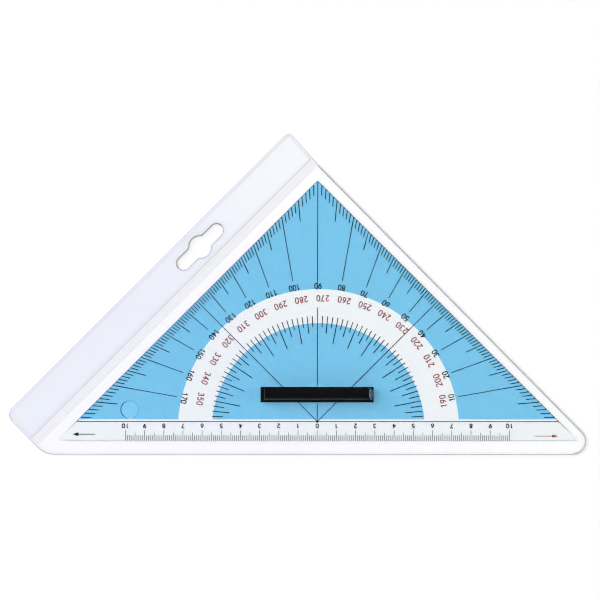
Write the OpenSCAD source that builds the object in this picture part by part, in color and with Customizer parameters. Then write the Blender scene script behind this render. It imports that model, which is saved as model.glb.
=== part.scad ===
// Navigation triangle with a protractor plate and a grip, kept in a clear film pouch
// with a printed backing card. It lies flat: the pouch's underside is z = 0, and the
// origin is under the protractor's zero. +Y points to the right-angled corner.

/* [Triangle plate] */
// Length of each short side of the plate
leg = 192; // [150:1:260]
// Thickness of the plate
plate_t = 2; // [1.2:0.1:4]
// Distance from the zero line to the ruler edge, which is the width of its bevel
ruler_w = 10; // [6:0.5:16]
// Thickness that the bevel leaves at the ruler edge
ruler_edge_t = 1; // [0.6:0.1:1.8]
// Radius of the plate's corners
plate_corner_r = 0.4; // [0.2:0.1:4]
// Chamfer along the top edges of the short sides
leg_chamfer = 0.5; // [0.1:0.1:0.9]
// Diameter of the hole for hanging the bare plate up
hang_hole_d = 8.8; // [6:0.1:11.5]
// Depth of the chamfer that eases the rims of that hole
hang_rim = 0.4; // [0.1:0.05:0.8]
// Distance of that hole from the left corner, along the ruler edge
hang_hole_in = 38; // [30:0.5:60]
// Height of that hole above the zero line
hang_hole_up = 6.1; // [5.5:0.1:12]

/* [Handle] */
// Length of the handle
handle_l = 58.8; // [40:0.2:90]
// Width of the handle at its foot
handle_w = 7.9; // [6:0.1:12]
// Height of the handle above the plate
handle_h = 7; // [5:0.1:12]
// Width of the flat top of the handle
handle_top_w = 5.4; // [4:0.1:5.8]
// Height of the upright wall round the handle's foot
handle_foot_h = 1.2; // [0.5:0.1:2.5]
// How far each end leans in from its foot to the top
handle_lean = 2.2; // [1:0.1:5]
// Depth of the finger flute along each side
flute_depth = 0.45; // [0.1:0.05:0.8]
// Diameter of the round finger dimple in each end
dimple_d = 5.6; // [3:0.1:6]
// Depth of that dimple
dimple_depth = 0.9; // [0.3:0.1:1.2]
// Distance of the handle's centre from the zero line
handle_up = 13.9; // [11:0.1:40]

/* [Snap spigot] */
// Diameter of the plate's hole for the spigot
spigot_hole_d = 9.6; // [7:0.1:12]
// Clearance between the spigot and its hole, all round
spigot_gap = 0.1; // [0.05:0.05:0.3]
// Width across the spigot's flats
spigot_flat_w = 6.6; // [4:0.1:7.6]
// Width of the slot that lets the two legs spring together
spigot_slot_w = 1.6; // [0.8:0.1:3]
// Depth of the countersink that the legs' lips hook into
lip_depth = 0.7; // [0.3:0.1:1]

/* [Backing card] */
// Thickness of the card
card_t = 0.3; // [0.2:0.05:0.8]
// Distance from the plate's outline in to the card's
card_inset = 0.4; // [0.1:0.1:3]

/* [Pouch] */
// Thickness of the pouch's two films
film_t = 0.25; // [0.15:0.05:0.5]
// Gap between each film, the card and the plate, so that they slide
slide_gap = 0.3; // [0.1:0.05:0.6]
// Margin from the plate's right-hand side to the pouch's edge, halfway up
side_margin = 5.5; // [4:0.1:15]
// How far the pouch's right-hand side leans out, from halfway up to the pocket's mouth
side_lean = 0.6; // [0:0.1:2]
// Margin from the ruler edge to the pouch's edge
bottom_margin = 7.15; // [4:0.05:20]
// Margin from the plate's left corner to the pouch's end
end_margin = 9.8; // [4:0.1:20]
// Width of the weld that joins the two films
weld_w = 2.4; // [1:0.1:3]
// Distance from the plate's left-hand side to the pocket's mouth
mouth_margin = 5.9; // [2:0.1:15]
// Radius of the pouch's corner at the foot of the right-hand side
right_corner_r = 7; // [4:0.1:12]
// Radius of the pouch's corner between the ruler side and the end
foot_corner_r = 12; // [4:0.5:20]

/* [Header] */
// Width of the header, from the pocket's mouth to its outer edge
header_w = 22.9; // [21:0.1:50]
// How far the header's right-hand end leans out further, from the mouth to the outer edge
header_flare = 1.2; // [0:0.1:4]
// Thickness of the strip that stiffens the header
strip_t = 0.25; // [0.15:0.05:0.5]
// Distance from the pocket's mouth to the strip
strip_from_mouth = 4.4; // [1:0.1:5]
// How far the strip stops short of the header's outer edge
strip_setback = 0.8; // [0.2:0.1:2]
// Radius of the header's top corner
top_corner_r = 2.5; // [1:0.1:8]
// Radius of the header's left corner
left_corner_r = 5; // [2:0.1:10]

/* [Hanging slot] */
// Length of the slot, between its round ends
slot_l = 31; // [24:0.5:40]
// Width of the slot's arms
slot_arm_w = 6.8; // [5:0.1:8]
// Diameter of the slot's round middle
slot_lobe_d = 11.4; // [9.5:0.1:13]
// Radius of the hollows where the arms meet the middle
slot_fillet_r = 1.5; // [0.5:0.1:2.5]
// Distance of the slot's centre from the header's outer edge
slot_from_edge = 9.85; // [8:0.05:12]
// Distance of the slot's centre from the header's right-hand end
slot_from_end = 73.4; // [40:0.1:160]

/* [Hidden] */

$fn = 96;
// Steps in an arc that rounds an outline's corner
arc_steps = 10;
// A cut runs this far past the face it starts from
past = 1;

// The pouch and the plate are drawn in slanted coordinates, which turn_45 turns into place.
// u runs up the plate's left-hand side, towards the right angle, and v runs out of the pocket.
root2 = sqrt(2);
base_half = leg / root2;
apex_y = base_half - ruler_w;
plate_u = apex_y / root2;
plate_v = plate_u;
plate_end_u = plate_u - leg;

pouch_u = plate_u + side_margin;
pouch_end_u = plate_end_u - end_margin;
pouch_bottom = -(ruler_w + bottom_margin);
mouth_v = plate_v + mouth_margin;
header_v = mouth_v + header_w;
slot_u = pouch_u - slot_from_end;
slot_v = header_v - slot_from_edge;

// Heights of the layers, from the underside up
strip_z = film_t;
card_z = strip_z + strip_t + slide_gap;
plate_z = card_z + card_t + slide_gap;
plate_top = plate_z + plate_t;
handle_top = plate_top + handle_h;

// How far the pocket's inside stands clear of what it holds
pocket_gap = slide_gap;
// A prism this high takes in the whole pocket
tall = handle_top + pocket_gap + film_t + past;

spigot_r = spigot_hole_d / 2 - spigot_gap;

// Unit vector along a
function unit(a) = a / norm(a);

// Points of an arc of radius r that rounds corner p, between its neighbours before and after
function corner_arc(p, before, after, r) =
    let (to_before = unit(before - p),
         to_after = unit(after - p),
         half = acos(to_before * to_after) / 2,
         centre = p + unit(to_before + to_after) * r / sin(half),
         start = p + to_before * r / tan(half) - centre,
         from = atan2(start[1], start[0]),
         side = to_before[0] * to_after[1] - to_before[1] * to_after[0],
         sweep = (180 - 2 * half) * (side > 0 ? -1 : 1))
    r == 0 ? [p] : [for (i = [0 : arc_steps])
        centre + r * [cos(from + sweep * i / arc_steps), sin(from + sweep * i / arc_steps)]];

// An outline's corners, each rounded by its own radius
function rounded(corners, radii) =
    let (n = len(corners))
    [for (i = [0 : n - 1])
        each corner_arc(corners[i], corners[(i + n - 1) % n], corners[(i + 1) % n], radii[i])];

// Corners of a strip from u = end to u = right, closed by v = top and by the line parallel
// to the ruler edge at height bottom
function slanted(right, end, bottom, top) = [
    [right, top],
    [end, top],
    [end, bottom * root2 - end],
    [right, bottom * root2 - right]
];

module turn_45() {
    rotate([0, 0, 45]) children();
}

// The plate's outline, with every side moved in by inset
module triangle_outline(inset) {
    right = plate_u - inset;
    bottom = -ruler_w + inset;
    far = bottom * root2 - right;
    polygon(rounded([[right, right], [far, right], [right, far]],
                    [plate_corner_r, plate_corner_r, plate_corner_r]));
}

// Corners of the pocket up to v = top, with its three other sides moved in by inset
function pocket_corners(top, inset) =
    let (slope = side_lean / mouth_v,
         end = pouch_end_u + inset,
         right = pouch_u - inset,
         foot = (pouch_bottom + inset) * root2,
         tip = (right + slope * foot) / (1 + slope))
    [[right + slope * top, top], [end, top], [end, foot - end], [tip, foot - tip]];

// The pocket's outline up to v = top, with its three other sides moved in by inset
module pouch_outline(top, inset) {
    polygon(rounded(
        pocket_corners(top, inset),
        [0, 0, foot_corner_r - inset, right_corner_r - inset]));
}

// The right-hand end of the header, at a distance v out
function header_end_u(v) = pouch_u + side_lean + header_flare * (v - mouth_v) / header_w;

// The outline of the pocket and the header together
module back_outline() {
    pocket = pocket_corners(header_v, 0);
    mouth_corner = [header_end_u(mouth_v), mouth_v];
    polygon(rounded(
        [[header_end_u(header_v), header_v], pocket[1], pocket[2], pocket[3], mouth_corner],
        [top_corner_r, left_corner_r, foot_corner_r, right_corner_r, 0]));
}

// Hanging slot: two arms with round ends, a round middle, and a hollow in each inner corner
module hanging_slot() {
    arm_r = slot_arm_w / 2;
    lobe_r = slot_lobe_d / 2;
    hollow_y = arm_r + slot_fillet_r;
    hollow_x = sqrt(pow(lobe_r + slot_fillet_r, 2) - pow(hollow_y, 2));
    translate([slot_u, slot_v]) {
        square([slot_l - slot_arm_w, slot_arm_w], center = true);
        circle(d = slot_lobe_d);
        for (side = [-1, 1]) {
            translate([side * (slot_l - slot_arm_w) / 2, 0]) circle(r = arm_r);
            difference() {
                polygon([[0, 0], [side * hollow_x, hollow_y], [side * hollow_x, -hollow_y]]);
                translate([side * hollow_x, hollow_y]) circle(r = slot_fillet_r);
                translate([side * hollow_x, -hollow_y]) circle(r = slot_fillet_r);
            }
        }
    }
}

// The film behind the card, which runs on past the mouth as the header
module back_film() {
    color([0.9, 0.92, 0.96, 0.45])
    turn_45()
    linear_extrude(film_t)
    difference() {
        back_outline();
        hanging_slot();
    }
}

// Second layer that stiffens the header round the hanging slot
module header_strip() {
    low_v = mouth_v + strip_from_mouth;
    high_v = header_v - strip_setback;
    color([0.82, 0.87, 0.97, 0.6])
    turn_45()
    translate([0, 0, strip_z])
    linear_extrude(strip_t)
    difference() {
        polygon(rounded(
            [[header_end_u(high_v), high_v], [pouch_end_u, high_v],
             [pouch_end_u, low_v], [header_end_u(low_v), low_v]],
            [top_corner_r, left_corner_r, 0, 0]));
        hanging_slot();
    }
}

// Space under the pocket's film. It rises from the weld to the plate's edge and on to the
// handle's top; spread is how far this skin lies outside the film's inner face.
module pocket_space(spread) {
    out = pocket_gap + spread;
    beyond_v = header_v;
    hull() {
        turn_45() translate([0, 0, film_t - past])
            linear_extrude(past + spread)
            pouch_outline(beyond_v, weld_w - spread);
        turn_45() translate([0, 0, plate_z])
            linear_extrude(plate_t + out)
            polygon(slanted(plate_u + out, plate_end_u - out, -(ruler_w + out), beyond_v));
        translate([-handle_l / 2 - out, handle_up - handle_w / 2 - out, plate_top])
            cube([handle_l + 2 * out, handle_w + 2 * out, handle_h + out]);
    }
}

// The pocket's film: welded down along three sides and open along the mouth
module front_film() {
    color([0.9, 0.92, 0.96, 0.35])
    intersection() {
        turn_45() translate([0, 0, film_t])
            linear_extrude(tall)
            pouch_outline(mouth_v, 0);
        difference() {
            union() {
                pocket_space(film_t);
                turn_45() translate([0, 0, film_t])
                    linear_extrude(film_t)
                    pouch_outline(mouth_v, 0);
            }
            pocket_space(0);
        }
    }
}

// The card under the plate
module printed_card() {
    color([0.49, 0.77, 0.93])
    turn_45()
    translate([0, 0, card_z])
    linear_extrude(card_t)
    triangle_outline(card_inset);
}

// What the bevel takes off the plate, from the zero line down to the ruler edge
module ruler_bevel() {
    drop = plate_t - ruler_edge_t;
    reach = ruler_w + past;
    translate([-base_half - past, 0, plate_top])
    rotate([90, 0, 90])
    linear_extrude(2 * (base_half + past))
    polygon([[0, 0], [-reach, -drop * reach / ruler_w], [-reach, past], [0, past]]);
}

// What the chamfer takes off the side at u = plate_u
module side_chamfer() {
    translate([plate_u, -leg, plate_top])
    rotate([-90, 0, 0])
    linear_extrude(2 * leg)
    polygon([[past, leg_chamfer + past], [past, -past], [-leg_chamfer - past, -past]]);
}

// The clear protractor plate, with a bevelled ruler edge and two round holes
module triangle_plate() {
    color([0.85, 0.93, 0.97, 0.4])
    difference() {
        turn_45() translate([0, 0, plate_z]) linear_extrude(plate_t) triangle_outline(0);
        ruler_bevel();
        turn_45() side_chamfer();
        turn_45() mirror([1, -1, 0]) side_chamfer();
        translate([-base_half + hang_hole_in, hang_hole_up, plate_z])
            hang_hole();
        translate([0, handle_up, plate_z - past])
            cylinder(h = plate_t + 2 * past, d = spigot_hole_d);
        translate([0, handle_up, plate_z])
            countersink(spigot_hole_d / 2, lip_depth, past);
    }
}

// Round hole through the plate with both of its rims eased
module hang_hole() {
    r = hang_hole_d / 2;
    translate([0, 0, -past]) cylinder(h = plate_t + 2 * past, r = r);
    countersink(r, hang_rim, past);
    translate([0, 0, plate_t]) mirror([0, 0, 1]) countersink(r, hang_rim, past);
}

// Cone that widens by depth down to the plate's underside, and on below it by extra
module countersink(r, depth, extra) {
    translate([0, 0, -extra])
    cylinder(h = depth + extra, r1 = r + depth + extra, r2 = r);
}

// The bar that the fingers hold: hollow flanks, and ends that lean in to the top
module handle_bar() {
    intersection() {
        rotate([90, 0, 90])
            translate([0, 0, -handle_l / 2])
            linear_extrude(handle_l)
            difference() {
                leaning_profile(handle_w / 2, handle_top_w / 2);
                for (side = [0, 1]) {
                    mirror([side, 0]) flute();
                }
            }
        rotate([90, 0, 0])
            translate([0, 0, -handle_w])
            linear_extrude(2 * handle_w)
            leaning_profile(handle_l / 2, handle_l / 2 - handle_lean);
    }
}

// Side view of the bar, upright at the foot and leaning in above it
module leaning_profile(foot_half, top_half) {
    polygon([[-foot_half, 0], [foot_half, 0], [foot_half, handle_foot_h], [top_half, handle_h],
             [-top_half, handle_h], [-foot_half, handle_foot_h]]);
}

// Circle that hollows the flank between the foot and the top by flute_depth
module flute() {
    low = [handle_w / 2, handle_foot_h];
    high = [handle_top_w / 2, handle_h];
    chord = norm(high - low);
    r = chord * chord / (8 * flute_depth) + flute_depth / 2;
    outward = unit([high[1] - low[1], low[0] - high[0]]);
    translate((low + high) / 2 + outward * (r - flute_depth)) circle(r = r);
}

// Ball that sinks a round dimple in the middle of the leaning end
module end_dimple() {
    r = (pow(dimple_d / 2, 2) + pow(dimple_depth, 2)) / (2 * dimple_depth);
    rise = handle_h - handle_foot_h;
    outward = unit([rise, 0, handle_lean]);
    middle = [(handle_l - handle_lean) / 2, 0, handle_foot_h + rise / 2];
    translate(middle + outward * (r - dimple_depth)) sphere(r = r);
}

// Two springy legs that snap through the plate's hole and hook in its countersink
module snap_spigot() {
    depth = plate_t;
    lip_r = spigot_r + lip_depth;
    difference() {
        intersection() {
            union() {
                translate([0, 0, -depth]) cylinder(h = depth, r = spigot_r);
                translate([0, 0, -depth]) countersink(spigot_r, lip_depth, 0);
            }
            translate([-lip_r, -spigot_flat_w / 2, -depth]) cube([2 * lip_r, spigot_flat_w, depth]);
        }
        translate([-spigot_slot_w / 2, -lip_r, -depth - past])
            cube([spigot_slot_w, 2 * lip_r, depth + past]);
    }
}

// The black handle, a bar with its snap spigot
module handle() {
    color([0.04, 0.05, 0.06])
    translate([0, handle_up, plate_top])
    union() {
        difference() {
            handle_bar();
            end_dimple();
            mirror([1, 0, 0]) end_dimple();
        }
        snap_spigot();
    }
}

back_film();
header_strip();
front_film();
printed_card();
triangle_plate();
handle();
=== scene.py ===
import math

import bmesh
import bpy
from mathutils import Euler, Matrix, Vector
from mathutils.bvhtree import BVHTree


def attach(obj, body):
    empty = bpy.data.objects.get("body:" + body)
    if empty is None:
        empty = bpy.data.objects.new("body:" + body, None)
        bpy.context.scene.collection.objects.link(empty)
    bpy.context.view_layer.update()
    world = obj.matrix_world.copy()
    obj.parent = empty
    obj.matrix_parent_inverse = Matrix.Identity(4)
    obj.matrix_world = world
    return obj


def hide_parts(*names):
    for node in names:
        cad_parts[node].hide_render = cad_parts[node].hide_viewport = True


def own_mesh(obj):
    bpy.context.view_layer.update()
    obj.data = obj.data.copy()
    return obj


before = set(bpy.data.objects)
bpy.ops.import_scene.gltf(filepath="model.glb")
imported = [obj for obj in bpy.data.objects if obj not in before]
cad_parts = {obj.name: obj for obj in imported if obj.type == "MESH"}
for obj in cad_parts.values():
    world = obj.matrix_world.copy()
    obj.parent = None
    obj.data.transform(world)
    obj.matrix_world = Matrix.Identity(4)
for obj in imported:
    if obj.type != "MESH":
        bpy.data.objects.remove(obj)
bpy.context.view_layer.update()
bpy.ops.object.select_all(action="DESELECT")

# The camera. The instrument is seen from above through a long lens, so nothing spreads towards the edges.
# It leans a little to the right and towards the ruler edge, so that the grip's top shows a little up
# and to the left.
mm = 0.001
picture_width = 312.6 * mm
picture_middle = Vector((-9.13, 63.35, 1.4)) * mm
camera_distance = 3.0
sensor_width = 36
camera_lean = Euler((math.radians(3.5), math.radians(3), math.radians(0.14)))
camera_back = camera_lean.to_matrix() @ Vector((0, 0, 1))
bpy.ops.object.camera_add(location=picture_middle + camera_back * camera_distance, rotation=camera_lean)
camera = bpy.context.object
camera.name = "camera"
camera.data.sensor_width = sensor_width
camera.data.lens = sensor_width * camera_distance / picture_width
camera.data.clip_start = 0.1
camera.data.clip_end = 60
bpy.context.scene.camera = camera

# The pouch's back film: one sheet of clear soft PVC, 0.25 mm thick, die-cut with rounded corners.
# It lies under everything and runs on past the pocket as the header, where the hanging slot goes through it.
film_thickness = 0.25 * mm
pouch_side = 94.36 * mm
side_lean = 0.6 * mm
pouch_end = -112.83 * mm
pouch_foot = -17.15 * mm
mouth = 94.829 * mm
header_edge = 117.729 * mm
header_end = 4 * mm
header_flare = 1.2 * mm
top_corner = 2.8 * mm
left_corner = 5 * mm
tip_corner = 7 * mm
foot_corner = 12 * mm
slot_middle = (21.029 * mm, 107.879 * mm)
slot_arm = 6.8 * mm
slot_length = 31 * mm
slot_round = 11.4 * mm
slot_ease = 1.5 * mm
cut_edge = 0.3 * mm
across_pouch = (-160 * mm, 142 * mm)
up_pouch = (-17 * mm, 148 * mm)
root_two = math.sqrt(2)


def on_slant(u, v):
    """The place that lies u up the left-hand side of the triangle and v out of the pocket."""
    return (u - v) / root_two, (u + v) / root_two


def slanted(x, y):
    """How far a place lies up the left-hand side of the triangle, and how far out of the pocket."""
    return (x + y) / root_two, (y - x) / root_two


def corner_at(u, y):
    """The place on the line u that is y above the ruler's zero."""
    return root_two * u - y, y


def start_piece(name):
    """Names the new primitive, takes its place and turn into its mesh and opens it in edit mode."""
    piece = bpy.context.object
    piece.name = name
    bpy.ops.object.transform_apply(location=True, rotation=True, scale=True)
    bpy.ops.object.mode_set(mode="EDIT")
    bpy.ops.mesh.select_mode(type="FACE")
    bpy.ops.mesh.select_all(action="SELECT")
    return piece


def pick(piece, kind, wanted):
    """Selects the faces, edges or verts of the piece in edit mode for which wanted is true."""
    bpy.ops.mesh.select_mode(type={"faces": "FACE", "edges": "EDGE", "verts": "VERT"}[kind])
    bpy.ops.mesh.select_all(action="DESELECT")
    shape = bmesh.from_edit_mesh(piece.data)
    for part in getattr(shape, kind):
        if wanted(part):
            part.select_set(True)
    shape.select_flush_mode()
    bmesh.update_edit_mesh(piece.data)


def only(piece):
    """Leaves edit mode and makes this the one selected object."""
    if bpy.context.object and bpy.context.object.mode == "EDIT":
        bpy.ops.object.mode_set(mode="OBJECT")
    bpy.ops.object.select_all(action="DESELECT")
    piece.select_set(True)
    bpy.context.view_layer.objects.active = piece


def finish_with(piece, kind, **settings):
    """Adds a modifier with its settings and applies it."""
    only(piece)
    modifier = piece.modifiers.new(kind.lower(), kind)
    for name, value in settings.items():
        setattr(modifier, name, value)
    bpy.ops.object.modifier_apply(modifier=modifier.name)


def drawn_round(name, discs, low, high):
    """A flat plate drawn tight round upright discs, each given as (x, y, radius)."""
    piece = None
    for x, y, radius in discs:
        place = (x, y, (low + high) / 2)
        bpy.ops.mesh.primitive_cylinder_add(vertices=96, radius=radius, depth=high - low, location=place)
        if piece is None:
            piece = start_piece(name)
    bpy.ops.mesh.select_all(action="SELECT")
    bpy.ops.mesh.convex_hull(delete_unused=True)
    bpy.ops.mesh.select_all(action="SELECT")
    bpy.ops.mesh.dissolve_limited(angle_limit=math.radians(0.2))
    only(piece)
    return piece


def side_at(v):
    """Where the pouch's right-hand side runs, v out of the pocket: it leans out a little on its way up."""
    return pouch_side + side_lean * v / mouth


def pouch_discs():
    """The four rounded corners of the pouch: top, left, foot and right-hand tip."""
    top = on_slant(side_at(header_edge) - top_corner, header_edge - top_corner)
    left = on_slant(pouch_end + left_corner, header_edge - left_corner)
    foot = corner_at(pouch_end + foot_corner, pouch_foot + foot_corner)
    tip_y = pouch_foot + tip_corner
    slope = side_lean / mouth
    tip = corner_at((pouch_side - tip_corner + slope * root_two * tip_y) / (1 + slope), tip_y)
    return [(*top, top_corner), (*left, left_corner), (*foot, foot_corner), (*tip, tip_corner)]


def flare_header(piece):
    """Leans the header's right-hand end out, from nothing at the mouth to the full flare at its edge."""
    for corner in piece.data.vertices:
        u, v = slanted(*corner.co.xy)
        if u > pouch_side - header_end and v > mouth:
            corner.co.xy = on_slant(u + header_flare * (v - mouth) / (header_edge - mouth), v)


def slot_punch():
    """The punch that cuts the hanging slot: a long round-ended bar with a round middle and eased corners."""
    reach = (slot_length - slot_arm) / 2
    arms = [(-reach, 0, slot_arm / 2), (reach, 0, slot_arm / 2)]
    deep = 5 * mm
    punch = drawn_round("slot_punch", arms, -deep, deep)
    middle = drawn_round("slot_middle", [(0, 0, slot_round / 2)], -deep, deep)
    # A block fills the corners between the arms and the middle, and four round rods hollow it again.
    # The rods are a hair thicker than the corners' radius, so that no sliver stays beside the arms.
    rod_y = slot_arm / 2 + slot_ease
    rod_x = math.sqrt((slot_round / 2 + slot_ease) ** 2 - rod_y**2)
    block_y = rod_y * slot_round / (slot_round + 2 * slot_ease)
    rod_radius = slot_ease * 1.004
    bpy.ops.mesh.primitive_cube_add(size=1, scale=(2 * rod_x, 2 * block_y, 2 * deep))
    block = start_piece("slot_block")
    only(block)
    for side_x, side_y in ((1, 1), (1, -1), (-1, 1), (-1, -1)):
        rod = drawn_round("slot_rod", [(side_x * rod_x, side_y * rod_y, rod_radius)], -1.2 * deep, 1.2 * deep)
        finish_with(block, "BOOLEAN", object=rod, operation="DIFFERENCE", solver="EXACT")
        bpy.data.objects.remove(rod)
    for part in (middle, block):
        finish_with(punch, "BOOLEAN", object=part, operation="UNION", solver="EXACT")
        bpy.data.objects.remove(part)
    only(punch)
    bpy.ops.object.mode_set(mode="EDIT")
    bpy.ops.mesh.select_all(action="SELECT")
    bpy.ops.mesh.remove_doubles(threshold=0.02 * mm)
    only(punch)
    bpy.ops.transform.rotate(value=-math.radians(45), orient_axis="Z", center_override=(0, 0, 0))
    punch.location = (*on_slant(*slot_middle), 0)
    bpy.ops.object.transform_apply(location=True, rotation=True, scale=True)
    return punch


def sheet_only(piece, trim):
    """Keeps the upper skin of the blank, with a narrow band round every cut edge, slot 1 of its materials."""
    only(piece)
    bpy.ops.object.mode_set(mode="EDIT")
    pick(piece, "faces", lambda face: face.normal.z < 0.9)
    bpy.ops.mesh.delete(type="ONLY_FACE")
    pick(piece, "verts", lambda corner: not corner.link_faces)
    bpy.ops.mesh.delete(type="VERT")
    bpy.ops.mesh.select_mode(type="FACE")
    bpy.ops.mesh.select_all(action="SELECT")
    bpy.ops.mesh.inset(thickness=trim, depth=0, use_boundary=True)
    bpy.ops.mesh.select_all(action="INVERT")
    shape = bmesh.from_edit_mesh(piece.data)
    for face in shape.faces:
        face.material_index = 1 if face.select else 0
    bmesh.update_edit_mesh(piece.data)


def sort_rims(piece, towards_light, from_light):
    """Gives the header's rim its lighter finish, and the slot's upper left rim its darker one: painted shade
    where that rim faces away from the light, with a dark cast that throws a shadow into the slot.
    """
    # All of the slot's rim lies within 0.6 of its length and of its width from its middle.
    for face in piece.data.polygons:
        u, v = slanted(*face.center.xy)
        off_middle = v - slot_middle[1]
        by_slot = abs(u - slot_middle[0]) < 0.6 * slot_length and 0 < off_middle < 0.6 * slot_round
        if face.material_index == 1 and v > mouth:
            face.material_index = from_light if by_slot else towards_light


def slice_sheet(piece, across, along):
    """Slices the sheet in edit mode at each x of across and each y of along, so that it can bend."""
    for plane, places in (((1, 0, 0), across), ((0, 1, 0), along)):
        for place in places:
            bpy.ops.mesh.select_all(action="SELECT")
            at = Vector(plane) * place
            bpy.ops.mesh.bisect(plane_co=at, plane_no=plane, threshold=0.000001)


def steps(low, high, pitch):
    """Evenly spaced places from low to high."""
    count = int((high - low) / pitch)
    return [low + (n + 0.5) * (high - low) / count for n in range(count)]


def header_lift(x, y):
    """How far the loose header stands off the table: most at its outer edge, in slow waves along it."""
    u, v = slanted(x, y)
    flat_part, rising_part = 2 * mm, 20 * mm
    rise = min(max((v - mouth - flat_part) / rising_part, 0), 1)
    long_wave = 0.26 * math.sin(u / (19 * mm) + 0.6)
    short_wave = 0.12 * math.sin(u / (7.3 * mm) + 2)
    return rise * rise * (3 - 2 * rise) * (0.36 + long_wave + short_wave) * mm


def linear(code):
    """An sRGB hex colour as the linear colour that shaders take."""
    parts = [int(code[n : n + 2], 16) / 255 for n in (1, 3, 5)]
    return [p / 12.92 if p <= 0.04045 else ((p + 0.055) / 1.055) ** 2.4 for p in parts] + [1]


def put(tree, kind, inputs=None, **settings):
    """Adds a node with its settings; each of its inputs takes a value or another node's output."""
    node = tree.nodes.new(kind)
    for name, value in settings.items():
        setattr(node, name, value)
    for name, value in (inputs or {}).items():
        if isinstance(value, bpy.types.NodeSocket):
            tree.links.new(value, node.inputs[name])
        else:
            node.inputs[name].default_value = value
    return node


def new_finish(name):
    """A new empty material, its node tree and the Object coordinates that its patterns read."""
    finish = bpy.data.materials.new(name)
    finish.use_nodes = True
    finish.node_tree.nodes.clear()
    place = put(finish.node_tree, "ShaderNodeTexCoord").outputs["Object"]
    return finish, finish.node_tree, place


def looked_at(tree):
    """One for rays that the eye follows, also in mirrors and through glass, and nothing for lamp light."""
    ray = put(tree, "ShaderNodeLightPath").outputs
    followed = ray["Is Camera Ray"]
    for kind in ("Is Glossy Ray", "Is Transmission Ray"):
        followed = put(tree, "ShaderNodeMath", {0: followed, 1: ray[kind]}, operation="MAXIMUM").outputs[0]
    return followed


def clear_film(name, tint, pale, body, milk, greyed=0.0):
    """Calendered soft PVC film: nearly clear, glossy, with slow ripples and a few milky patches."""
    finish, tree, place = new_finish(name)
    # The ripples are 12 mm long and 0.05 mm high. They show as soft bends in what the film mirrors.
    ripples = put(tree, "ShaderNodeTexNoise", {"Vector": place, "Scale": 1 / (12 * mm), "Detail": 2.0})
    bump = put(
        tree, "ShaderNodeBump", {"Height": ripples.outputs[0], "Strength": 0.6, "Distance": 0.05 * mm}
    ).outputs["Normal"]
    # The milky patches are 25 mm across, where the soft film has clung to what lies under it.
    patches = put(tree, "ShaderNodeTexNoise", {"Vector": place, "Scale": 1 / (25 * mm), "Detail": 3.0})
    spread = {"From Min": 0.35, "From Max": 0.75, "To Min": 0.7 * milk, "To Max": milk}
    cloud = put(tree, "ShaderNodeMapRange", {"Value": patches.outputs[0], **spread})
    shine = put(tree, "ShaderNodeBsdfGlossy", {"Roughness": 0.12, "Normal": bump})
    # A face of PVC, IOR 1.53, mirrors a few hundredths head on and all at a grazing slant, from either side.
    slant = put(tree, "ShaderNodeLayerWeight", {"Blend": 0.5, "Normal": bump})
    steep = put(tree, "ShaderNodeMath", {0: slant.outputs["Facing"], 1: 5.0}, operation="POWER")
    glance = put(tree, "ShaderNodeMapRange", {"Value": steep.outputs[0], "To Min": 0.005, "To Max": 1.0})
    # Lamp light goes straight through, so that it is counted once.
    mirror = put(tree, "ShaderNodeMath", {0: glance.outputs[0], 1: looked_at(tree)}, operation="MULTIPLY")
    through = put(tree, "ShaderNodeBsdfTransparent", {"Color": film_tint(tree, place, tint, pale, greyed)})
    # What is milky in it throws back half of the light that it catches and scatters the rest downwards.
    lit = put(tree, "ShaderNodeBsdfDiffuse", {"Color": linear(body)})
    scattered = put(tree, "ShaderNodeBsdfTranslucent", {"Color": linear(body)})
    halves = put(tree, "ShaderNodeMixShader", {0: 0.5, 1: lit.outputs[0], 2: scattered.outputs[0]})
    milky = put(
        tree, "ShaderNodeMixShader", {0: cloud.outputs[0], 1: through.outputs[0], 2: halves.outputs[0]}
    )
    whole = put(tree, "ShaderNodeMixShader", {0: mirror.outputs[0], 1: milky.outputs[0], 2: shine.outputs[0]})
    put(tree, "ShaderNodeOutputMaterial", {"Surface": whole.outputs[0]})
    return finish


fading_out = {"To Min": 1.0, "To Max": 0.0}


def film_tint(tree, place, tint, pale, greyed):
    """The film's cast fades up the pouch, and is greyer in a band just outside the mouth."""
    parts = put(tree, "ShaderNodeSeparateXYZ", {0: place})
    along = put(tree, "ShaderNodeMath", {0: parts.outputs["Y"], 1: parts.outputs["X"]}, operation="ADD")
    out = put(tree, "ShaderNodeMath", {0: parts.outputs["Y"], 1: parts.outputs["X"]}, operation="SUBTRACT")
    upwards = {"From Min": -20 * mm * root_two, "From Max": 80 * mm * root_two}
    rising = {"From Min": (mouth - 0.4 * mm) * root_two, "From Max": mouth * root_two}
    falling = {"From Min": (mouth + 4 * mm) * root_two, "From Max": (mouth + 7 * mm) * root_two, **fading_out}
    fade = put(tree, "ShaderNodeMapRange", {"Value": along.outputs[0], **upwards})
    rise = put(tree, "ShaderNodeMapRange", {"Value": out.outputs[0], **rising})
    fall = put(tree, "ShaderNodeMapRange", {"Value": out.outputs[0], **falling})
    band = put(tree, "ShaderNodeMath", {0: rise.outputs[0], 1: fall.outputs[0]}, operation="MULTIPLY")
    colours = {6: linear(tint), 7: linear(pale)}
    cast = put(tree, "ShaderNodeMix", {"Factor": fade.outputs[0], **colours}, data_type="RGBA")
    grey = (1 - greyed, 1 - greyed, 1 - greyed, 1)
    mixed = put(
        tree,
        "ShaderNodeMix",
        {"Factor": band.outputs[0], 6: cast.outputs[2], 7: grey},
        data_type="RGBA",
        blend_type="MULTIPLY",
    )
    return mixed.outputs[2]


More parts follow.
